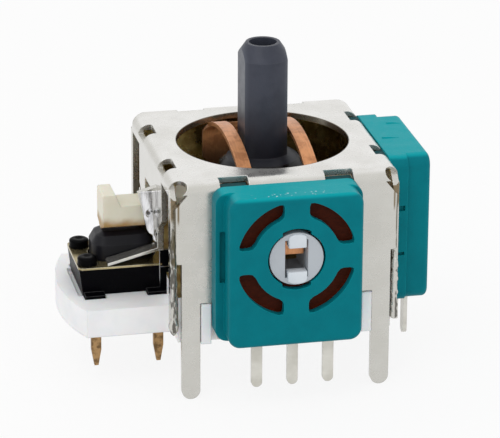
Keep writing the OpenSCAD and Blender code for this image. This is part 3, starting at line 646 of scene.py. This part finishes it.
@dataclass
class Piece:
    """A new visible piece: its mesh, the body it rides on and its finish."""

    name: str
    body: str
    finish: Finish
    slot: str
    bevel_mm: float = 0.05
    mesh: bmesh.types.BMesh = field(default_factory=bmesh.new)

    def prism(self, outline: Sequence[tuple[float, float]], low: float, high: float) -> "Piece":
        """Adds a prism.

        Args:
            outline: Its plan, in millimetres.
            low: Its lower end along Z.
            high: Its upper end.

        Returns:
            The same piece.
        """
        return self.loft([[(x, y, z) for x, y in outline] for z in (low, high)])

    def loft(self, sections: Sequence[Sequence[Point]]) -> "Piece":
        """Adds a skin over rings of points, with both ends closed.

        Args:
            sections: Rings of the same number of points, in millimetres.

        Returns:
            The same piece.
        """
        rings = [[self.mesh.verts.new(Vector(point) * MM) for point in ring] for ring in sections]
        count = len(sections[0])
        for one, two in zip(rings, rings[1:]):
            for i in range(count):
                j = (i + 1) % count
                self.mesh.faces.new((one[i], one[j], two[j], two[i]))
        self.mesh.faces.new(list(reversed(rings[0])))
        self.mesh.faces.new(rings[-1])
        return self

    def turned(self, profile: Sequence[tuple[float, float]], centre: Point, steps: int = 32) -> "Piece":
        """Adds a turned shape.

        Args:
            profile: Radius and height, from the bottom to the top, in millimetres.
            centre: The foot of its axis.
            steps: Points round the axis.

        Returns:
            The same piece.
        """
        x, y, z = centre
        rings = [[(x + radius * math.cos(a), y + radius * math.sin(a), z + height)
                  for a in (2 * math.pi * i / steps for i in range(steps))] for radius, height in profile]
        return self.loft(rings)

    def finish_up(self, stock: Stock, subdivide: int = 0) -> bpy.types.Object:
        """Makes the object, with its edges rounded, its finish on and its body named.

        Args:
            stock: The stock that holds the materials.
            subdivide: Levels of subdivision.

        Returns:
            The object.
        """
        bmesh.ops.remove_doubles(self.mesh, verts=self.mesh.verts, dist=0.002 * MM)
        bmesh.ops.recalc_face_normals(self.mesh, faces=self.mesh.faces)
        if self.bevel_mm:
            sharp = [e for e in self.mesh.edges if len(e.link_faces) == 2 and e.calc_face_angle(0) > 0.6]
            bmesh.ops.bevel(self.mesh, geom=sharp, offset=self.bevel_mm * MM, segments=3, profile=0.5,
                            affect="EDGES", clamp_overlap=True)
        data = bpy.data.meshes.new(self.name)
        self.mesh.to_mesh(data)
        self.mesh.free()
        made = bpy.data.objects.new(self.name, data)
        bpy.context.scene.collection.objects.link(made)
        for polygon in data.polygons:
            polygon.use_smooth = True
        if subdivide:
            step = made.modifiers.new("smooth", "SUBSURF")
            step.levels = step.render_levels = subdivide
        data.materials.append(stock.material(self.finish))
        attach(made, self.body)
        log.info("built %s on %s", self.name, self.body)
        return made


@dataclass
class Can:
    """The folded can, with the curl of its front finger."""

    half: float = 8.0
    edge_low: float = 0.62
    edge_high: float = 8.3
    edge_high_right: float = 5.65
    edge_r: float = 0.24
    finger_y: float = -2.4

    def build(self, stock: Stock) -> None:
        """Dresses the can and adds the cut edges of its side walls and the finger's curl."""
        stock.dress("metal_can", stock.palette.tin)
        self.cut_edge(stock, "left", -self.half + 0.15, self.edge_high)
        self.cut_edge(stock, "right", self.half - 0.32, self.edge_high_right)
        self.petal(stock)
        self.tail(stock)

    def petal(self, stock: Stock) -> None:
        """Adds the scooped face of the front finger, with its ridge and its two dimples."""
        outline = ((6.10, -8.36, -8.12), (6.22, -8.56, -7.96), (6.5, -8.72, -7.82), (7.2, -8.86, -7.72),
                   (8.0, -8.98, -7.68), (8.7, -9.08, -7.66), (9.3, -9.12, -7.66))
        piece = Piece("finger_curl", "root", stock.palette.bright, "tinned_steel", 0.0)
        rings = []
        across = 22
        for i in range(41):
            z = 6.10 + (9.3 - 6.10) * (i / 40) ** 1.3
            k = next(n for n in range(1, len(outline)) if z <= outline[n][0] + 1e-9)
            (z0, l0, r0), (z1, l1, r1) = outline[k - 1], outline[k]
            t = (z - z0) / (z1 - z0)
            left, right = l0 + (l1 - l0) * t, r0 + (r1 - r0) * t
            fade = min(1.0, (9.3 - z) / 1.2)
            ring = []
            for j in range(across + 1):
                u = 2 * j / across - 1
                x = left + (right - left) * j / across
                rise = 0.13 * math.sqrt(max(0.0, 1 - u * u)) * fade + 0.02
                ridge = 0.07 * math.exp(-((u - 0.05) / 0.13) ** 2) * (1 if z < 7.45 else math.exp(-(z - 7.45) * 5))
                dents = sum(0.16 * math.exp(-((x - a) ** 2 + (z - b) ** 2 * 0.6) / 0.018)
                            for a, b in ((-8.56, 7.68), (-8.1, 7.74)))
                ring.append((x, self.finger_y - rise - ridge * fade + dents, z))
            ring += [(right, self.finger_y + 0.06, z), (left, self.finger_y + 0.06, z)]
            rings.append(ring)
        piece.loft(rings)
        piece.finish_up(stock)

    def tail(self, stock: Stock) -> None:
        """Adds the two shiny beads of the finger's torn tip."""
        path = ((-8.24, 6.16, 0.10), (-8.17, 6.02, 0.13), (-8.10, 5.86, 0.20), (-8.07, 5.72, 0.20),
                (-8.02, 5.58, 0.12), (-7.93, 5.47, 0.06), (-7.83, 5.38, 0.10), (-7.75, 5.30, 0.14),
                (-7.70, 5.22, 0.10), (-7.67, 5.17, 0.02))
        piece = Piece("finger_tail", "root", stock.palette.bright, "tinned_steel", 0.0)
        piece.loft([[(x + r * math.cos(a), self.finger_y + 0.02 + 0.8 * r * math.sin(a), z + 0.3 * r * math.cos(a))
                     for a in (2 * math.pi * k / 12 for k in range(12))] for x, z, r in path])
        piece.finish_up(stock, 1)

    def cut_edge(self, stock: Stock, label: str, middle: float, high: float) -> None:
        """Adds the rolled edge of one side wall, beside the front wall.

        Args:
            stock: The stock that holds the materials.
            label: Which corner.
            middle: Its place along X.
            high: Its upper end.
        """
        piece = Piece(f"cut_edge_{label}", "root", stock.palette.tin, "tinned_steel", 0.0)
        rings = []
        count = 60
        for i in range(count + 1):
            t = i / count
            z = self.edge_low + (high - self.edge_low) * t
            ends = math.sqrt(max(0.02, 1 - (2 * min(max(t * 8, 0.0), 1.0) * 0.5 - 1) ** 2))
            wave = 1 + 0.14 * math.sin(t * 31 + middle) + 0.09 * math.sin(t * 67)
            foot = 1 + 0.5 * math.exp(-((t - 0.06) / 0.06) ** 2)
            r = self.edge_r * wave * ends * foot * (0.25 + 0.75 * min(1.0, (1 - t) * 6))
            rings.append([(middle + r * math.cos(a), -self.half + 0.28 + r * math.sin(a), z)
                          for a in (2 * math.pi * k / 14 for k in range(14))])
        piece.loft(rings)
        piece.finish_up(stock)


@dataclass
class Base:
    """The white base and carrier, the spring plate and the spring."""

    coil_r: float = 3.5
    wire_r: float = 0.225
    coil_low: float = 0.8
    coil_high: float = 3.245
    turns: float = 3.0
    travel: float = 0.3

    def build(self, stock: Stock) -> None:
        """Dresses the base, the plate and the spring, and adds a coil in place of the CAD spring."""
        stock.dress("base", stock.palette.white)
        stock.dress("spring_plate", stock.palette.white)
        stock.dress("return_spring", stock.palette.steel)
        self.spring(stock)

    def spring(self, stock: Stock) -> None:
        """Adds the coil in place of the CAD one."""
        piece = Piece("coil", "root", stock.palette.steel, "spring_steel", 0.0)
        low, high = self.coil_low + self.wire_r, self.coil_high - self.wire_r
        steps = round(self.turns * 40)
        rings = []
        for i in range(steps + 1):
            a = 2 * math.pi * self.turns * i / steps
            z = low + (high - low) * i / steps
            out = Vector((math.cos(a), math.sin(a), 0.0))
            rings.append([tuple(out * (self.coil_r + self.wire_r * math.cos(b))
                                + Vector((0, 0, z + self.wire_r * math.sin(b))))
                          for b in (2 * math.pi * k / 12 for k in range(12))])
        piece.loft(rings)
        coil = piece.finish_up(stock)
        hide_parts("return_spring")
        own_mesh(coil)


@dataclass
class Potentiometer:
    """One of the two potentiometers."""

    side: Side
    pivot: float = 6.9
    reach: float = 11.0
    top: float = 11.35

    @property
    def rotor_body(self) -> str:
        """The body that the rotor turns with."""
        return "arch" if self.side is Side.FRONT else "side_rotor"

    def place(self, across: float, out: float, up: float) -> Point:
        """Gives a point of the front one, or its mirror image over the diagonal on the right one.

        Args:
            across: Along the housing's face.
            out: Out from the can's middle.
            up: Height above the board.

        Returns:
            The point in millimetres.
        """
        return (across, -out, up) if self.side is Side.FRONT else (out, -across, up)

    def build(self, stock: Stock) -> None:
        """Dresses the five nodes and adds the small keys in the rotor's slot."""
        name = self.side.value
        stock.dress(f"{name}_pot_housing", stock.palette.teal)
        plate = stock.palette.front_plate if self.side is Side.FRONT else stock.palette.right_plate
        stock.dress(f"{name}_resistor_plate", plate)
        stock.dress(f"{name}_pot_terminals", stock.palette.tin_small)
        stock.dress(f"{name}_rotor", stock.palette.grey)
        stock.dress(f"{name}_wiper", stock.palette.steel)
        self.keys(stock)
        if self.side is Side.RIGHT:
            self.top_marks(stock)

    def top_marks(self, stock: Stock) -> None:
        """Adds the two low ridges on the housing's top."""
        piece = Piece("right_housing_marks", "root", stock.palette.teal, "teal_plastic", 0.02)
        for out_low, out_high, across, slant in ((9.6, 10.62, -2.5, -0.14), (8.5, 9.7, 0.5, -0.14)):
            rings = []
            for step in range(9):
                t = step / 8
                out = out_low + (out_high - out_low) * t
                middle = across - slant * t
                rise = self.top + 0.05 * math.sin(math.pi * min(1.0, 0.15 + t) ** 0.7) + 0.012
                rings.append([self.place(middle + w, out, z) for w, z in (
                    (-0.09, self.top - 0.02), (-0.04, rise), (0.04, rise), (0.09, self.top - 0.02))])
            piece.loft(rings)
        piece.finish_up(stock)

    def keys(self, stock: Stock) -> None:
        """Adds the two pale lips at the ends of the rotor's slot."""
        piece = Piece(f"{self.side.value}_slot_lips", self.rotor_body, stock.palette.pale, "grey_plastic", 0.05)
        for up, half, near, far in ((1, 0.62, 0.80, 1.80), (-1, 0.68, 0.92, 1.82)):
            rings = []
            for out, grow in ((self.reach - 0.75, 0.0), (self.reach - 0.02, 0.0), (self.reach + 0.05, -0.07)):
                outline = [(-half - grow, near), (half + grow, near)]
                outline += [((half + grow) * math.cos(a), far - 0.3 + 0.3 * math.sin(a) + grow)
                            for a in (math.pi * k / 8 for k in range(9))]
                rings.append([self.place(x + 0.06, out, self.pivot + up * z) for x, z in outline])
            piece.loft(rings)
        piece.finish_up(stock)


@dataclass
class Gimbal:
    """The copper arch, the cream lower gimbal with its lever, and the pin."""

    def build(self, stock: Stock) -> None:
        """Dresses the moving frame."""
        stock.dress("gimbal_arch", stock.palette.copper)
        stock.dress("lower_gimbal", stock.palette.cream)
        stock.dress("stem_pin", stock.palette.steel)


@dataclass
class Stick:
    """The stem."""

    def build(self, stock: Stock) -> None:
        """Dresses the stem."""
        stock.dress("stem", stock.palette.stem)


@dataclass
class PushSwitch:
    """The push switch on its carrier."""

    stake_x: float = -12.8
    stake_y: float = 1.75
    stake_r: float = 0.68
    stake_top: float = 4.45

    def build(self, stock: Stock) -> None:
        """Dresses the switch and rounds its stakes' heads."""
        stock.dress("switch_body", stock.palette.black)
        stock.dress("switch_cover", stock.palette.cover)
        stock.dress("switch_button", stock.palette.button)
        stock.dress("switch_dome", stock.palette.steel)
        stock.dress("switch_terminals", stock.palette.brass)
        for label, y in (("front", -self.stake_y), ("back", self.stake_y)):
            self.stake_head(stock, label, y)
        self.end_strap(stock)

    def end_strap(self, stock: Stock) -> None:
        """Adds the black end web inside the can and the cover's bright edges on it."""
        web = Piece("switch_end_web", "root", stock.palette.black, "black_plastic", 0.02)
        web.prism([(-7.84, -2.64), (-7.2, -2.64), (-7.2, -2.5), (-7.84, -2.5)], 2.2, 5.0)
        web.finish_up(stock)
        lines = Piece("switch_end_edges", "root", stock.palette.bright, "cover_steel", 0.012)
        lines.prism([(-7.87, -2.67), (-7.81, -2.67), (-7.81, -2.6), (-7.87, -2.6)], 2.2, 5.04)
        for z in (4.97, 3.7):
            lines.prism([(-7.83, -2.66), (-7.2, -2.66), (-7.2, -2.6), (-7.83, -2.6)], z, z + 0.06)
        lines.finish_up(stock)

    def stake_head(self, stock: Stock, label: str, y: float) -> None:
        """Adds the flattened head of one heat stake.

        Args:
            stock: The stock that holds the materials.
            label: Which stake.
            y: Its place across the switch.
        """
        r, top = self.stake_r, self.stake_top
        profile = [(r * 0.2, top - 0.1), (r * 0.98, top - 0.1), (r * 1.02, top - 0.02), (r * 0.98, top + 0.06),
                   (r * 0.8, top + 0.13), (r * 0.45, top + 0.15), (r * 0.3, top + 0.1), (0.02, top + 0.08)]
        piece = Piece(f"stake_head_{label}", "root", stock.palette.black, "black_plastic", 0.0)
        piece.turned(profile, (self.stake_x, y, 0.0))
        piece.finish_up(stock)


@dataclass
class Camera:
    """The photograph's viewpoint, found by fitting the can's corners."""

    azimuth: float = -12.36
    elevation: float = 20.86
    roll: float = 0.29
    focal_px: float = 3260.75
    width_px: float = 500.0
    distance: float = 229.27
    across: float = -0.84
    up: float = -2.52
    middle: float = 8.4
    sensor: float = 36.0

    def build(self) -> None:
        """Adds the camera and makes it the scene's own."""
        turn, tilt, roll = (math.radians(a) for a in (self.azimuth, self.elevation, self.roll))
        back = Vector((math.sin(turn) * math.cos(tilt), -math.cos(turn) * math.cos(tilt), math.sin(tilt)))
        level = Vector((math.cos(turn), math.sin(turn), 0.0))
        rise = back.cross(level)
        right = math.cos(roll) * level + math.sin(roll) * rise
        upward = -math.sin(roll) * level + math.cos(roll) * rise
        target = Vector((0.0, 0.0, self.middle)) + self.across * right + self.up * upward
        place = (target + back * self.distance) * MM
        data = bpy.data.cameras.new("photo_camera")
        data.sensor_width = self.sensor
        data.lens = self.focal_px / self.width_px * self.sensor
        data.clip_start, data.clip_end = 0.005, 20.0
        camera = bpy.data.objects.new("photo_camera", data)
        bpy.context.scene.collection.objects.link(camera)
        camera.matrix_world = Matrix((
            (right.x, upward.x, back.x, place.x), (right.y, upward.y, back.y, place.y),
            (right.z, upward.z, back.z, place.z), (0.0, 0.0, 0.0, 1.0)))
        bpy.context.scene.camera = camera


@dataclass
class Studio:
    """White floor, plain white world and soft lamps."""

    floor_z: float = -4.12
    world: float = 0.86
    key_power: float = 0.14
    fill_power: float = 0.045

    def build(self) -> None:
        """Adds the world, the lamps and the floor."""
        scene = bpy.context.scene
        scene.view_settings.view_transform = "Standard"
        self.sky(scene)
        self.lamp("key", (-0.12, -0.14, 0.26), 0.16, self.key_power)
        self.lamp("fill", (0.22, -0.16, 0.12), 0.16, self.fill_power)
        self.floor()

    def sky(self, scene: bpy.types.Scene) -> None:
        """Makes the world: plain for the light, white where it is seen.

        Args:
            scene: The scene.
        """
        world = bpy.data.worlds.new("studio")
        scene.world = world
        world.use_nodes = True
        tree = world.node_tree
        tree.nodes.clear()
        path = tree.nodes.new("ShaderNodeLightPath")
        seen = tree.nodes.new("ShaderNodeMath")
        seen.operation = "MAXIMUM"
        tree.links.new(path.outputs["Is Camera Ray"], seen.inputs[0])
        through = tree.nodes.new("ShaderNodeMath")
        through.operation = "MAXIMUM"
        tree.links.new(path.outputs["Is Glossy Ray"], through.inputs[0])
        tree.links.new(path.outputs["Is Transmission Ray"], through.inputs[1])
        tree.links.new(through.outputs[0], seen.inputs[1])
        level = tree.nodes.new("ShaderNodeMapRange")
        tree.links.new(seen.outputs[0], level.inputs["Value"])
        level.inputs["To Min"].default_value = self.world
        level.inputs["To Max"].default_value = 1.0
        sky = tree.nodes.new("ShaderNodeBackground")
        tree.links.new(level.outputs[0], sky.inputs["Strength"])
        sky.inputs["Color"].default_value = (1.0, 1.0, 1.0, 1.0)
        out = tree.nodes.new("ShaderNodeOutputWorld")
        tree.links.new(sky.outputs[0], out.inputs[0])

    def lamp(self, name: str, place: Point, size: float, power: float) -> None:
        """Adds one soft square lamp that faces the part.

        Args:
            name: Its name.
            place: Where it stands, in metres.
            size: Its side, in metres.
            power: Its power in watts.
        """
        data = bpy.data.lights.new(name, "AREA")
        data.size = size
        data.energy = power
        lamp = bpy.data.objects.new(name, data)
        bpy.context.scene.collection.objects.link(lamp)
        lamp.location = place
        lamp.rotation_euler = (Vector(place) - Vector((0, 0, 0.007))).to_track_quat("Z", "Y").to_euler()

    def floor(self) -> None:
        """Adds the floor: white where it is seen, and it keeps the shadow."""
        shader = Shader("white_floor")
        path = shader.node("ShaderNodeLightPath")
        camera, glossy, through = (Wrap(shader, path.outputs[key]) for key in (
            "Is Camera Ray", "Is Glossy Ray", "Is Transmission Ray"))
        seen = camera.math("MAXIMUM", glossy).math("MAXIMUM", through)
        plain = shader.node("ShaderNodeBsdfDiffuse", None, {"Color": (0.86, 0.86, 0.86)})
        glow = shader.node("ShaderNodeEmission", None, {"Color": (1.0, 1.0, 1.0), "Strength": 1.0})
        both = shader.node("ShaderNodeMixShader", None,
                           {0: seen * 0.86, 1: plain.outputs[0], 2: glow.outputs[0]})
        shader.tree.links.new(both.outputs[0], shader.output.inputs["Surface"])
        data = bpy.data.meshes.new("floor")
        mesh = bmesh.new()
        bmesh.ops.create_grid(mesh, x_segments=1, y_segments=1, size=3.0)
        mesh.to_mesh(data)
        mesh.free()
        made = bpy.data.objects.new("floor", data)
        made.location = (0, 0, self.floor_z * MM)
        data.materials.append(shader.material)
        bpy.context.scene.collection.objects.link(made)


def plain(box: Iterable) -> list:
    """Turns a box into plain lists of numbers."""
    return [[float(value) for value in corner] for corner in box]


def main() -> None:
    """Builds the camera, the part's looks and the studio, in order."""
    logging.basicConfig(level=logging.INFO, format="%(name)s: %(message)s")
    Camera().build()
    stock = Stock(Palette())
    for part in (Can(), Base(), Potentiometer(Side.FRONT), Potentiometer(Side.RIGHT), Gimbal(), Stick(),
                 PushSwitch()):
        part.build(stock)
        log.info("finished %s", type(part).__name__)
    Studio().build()


if __name__ == "__main__":
    main()
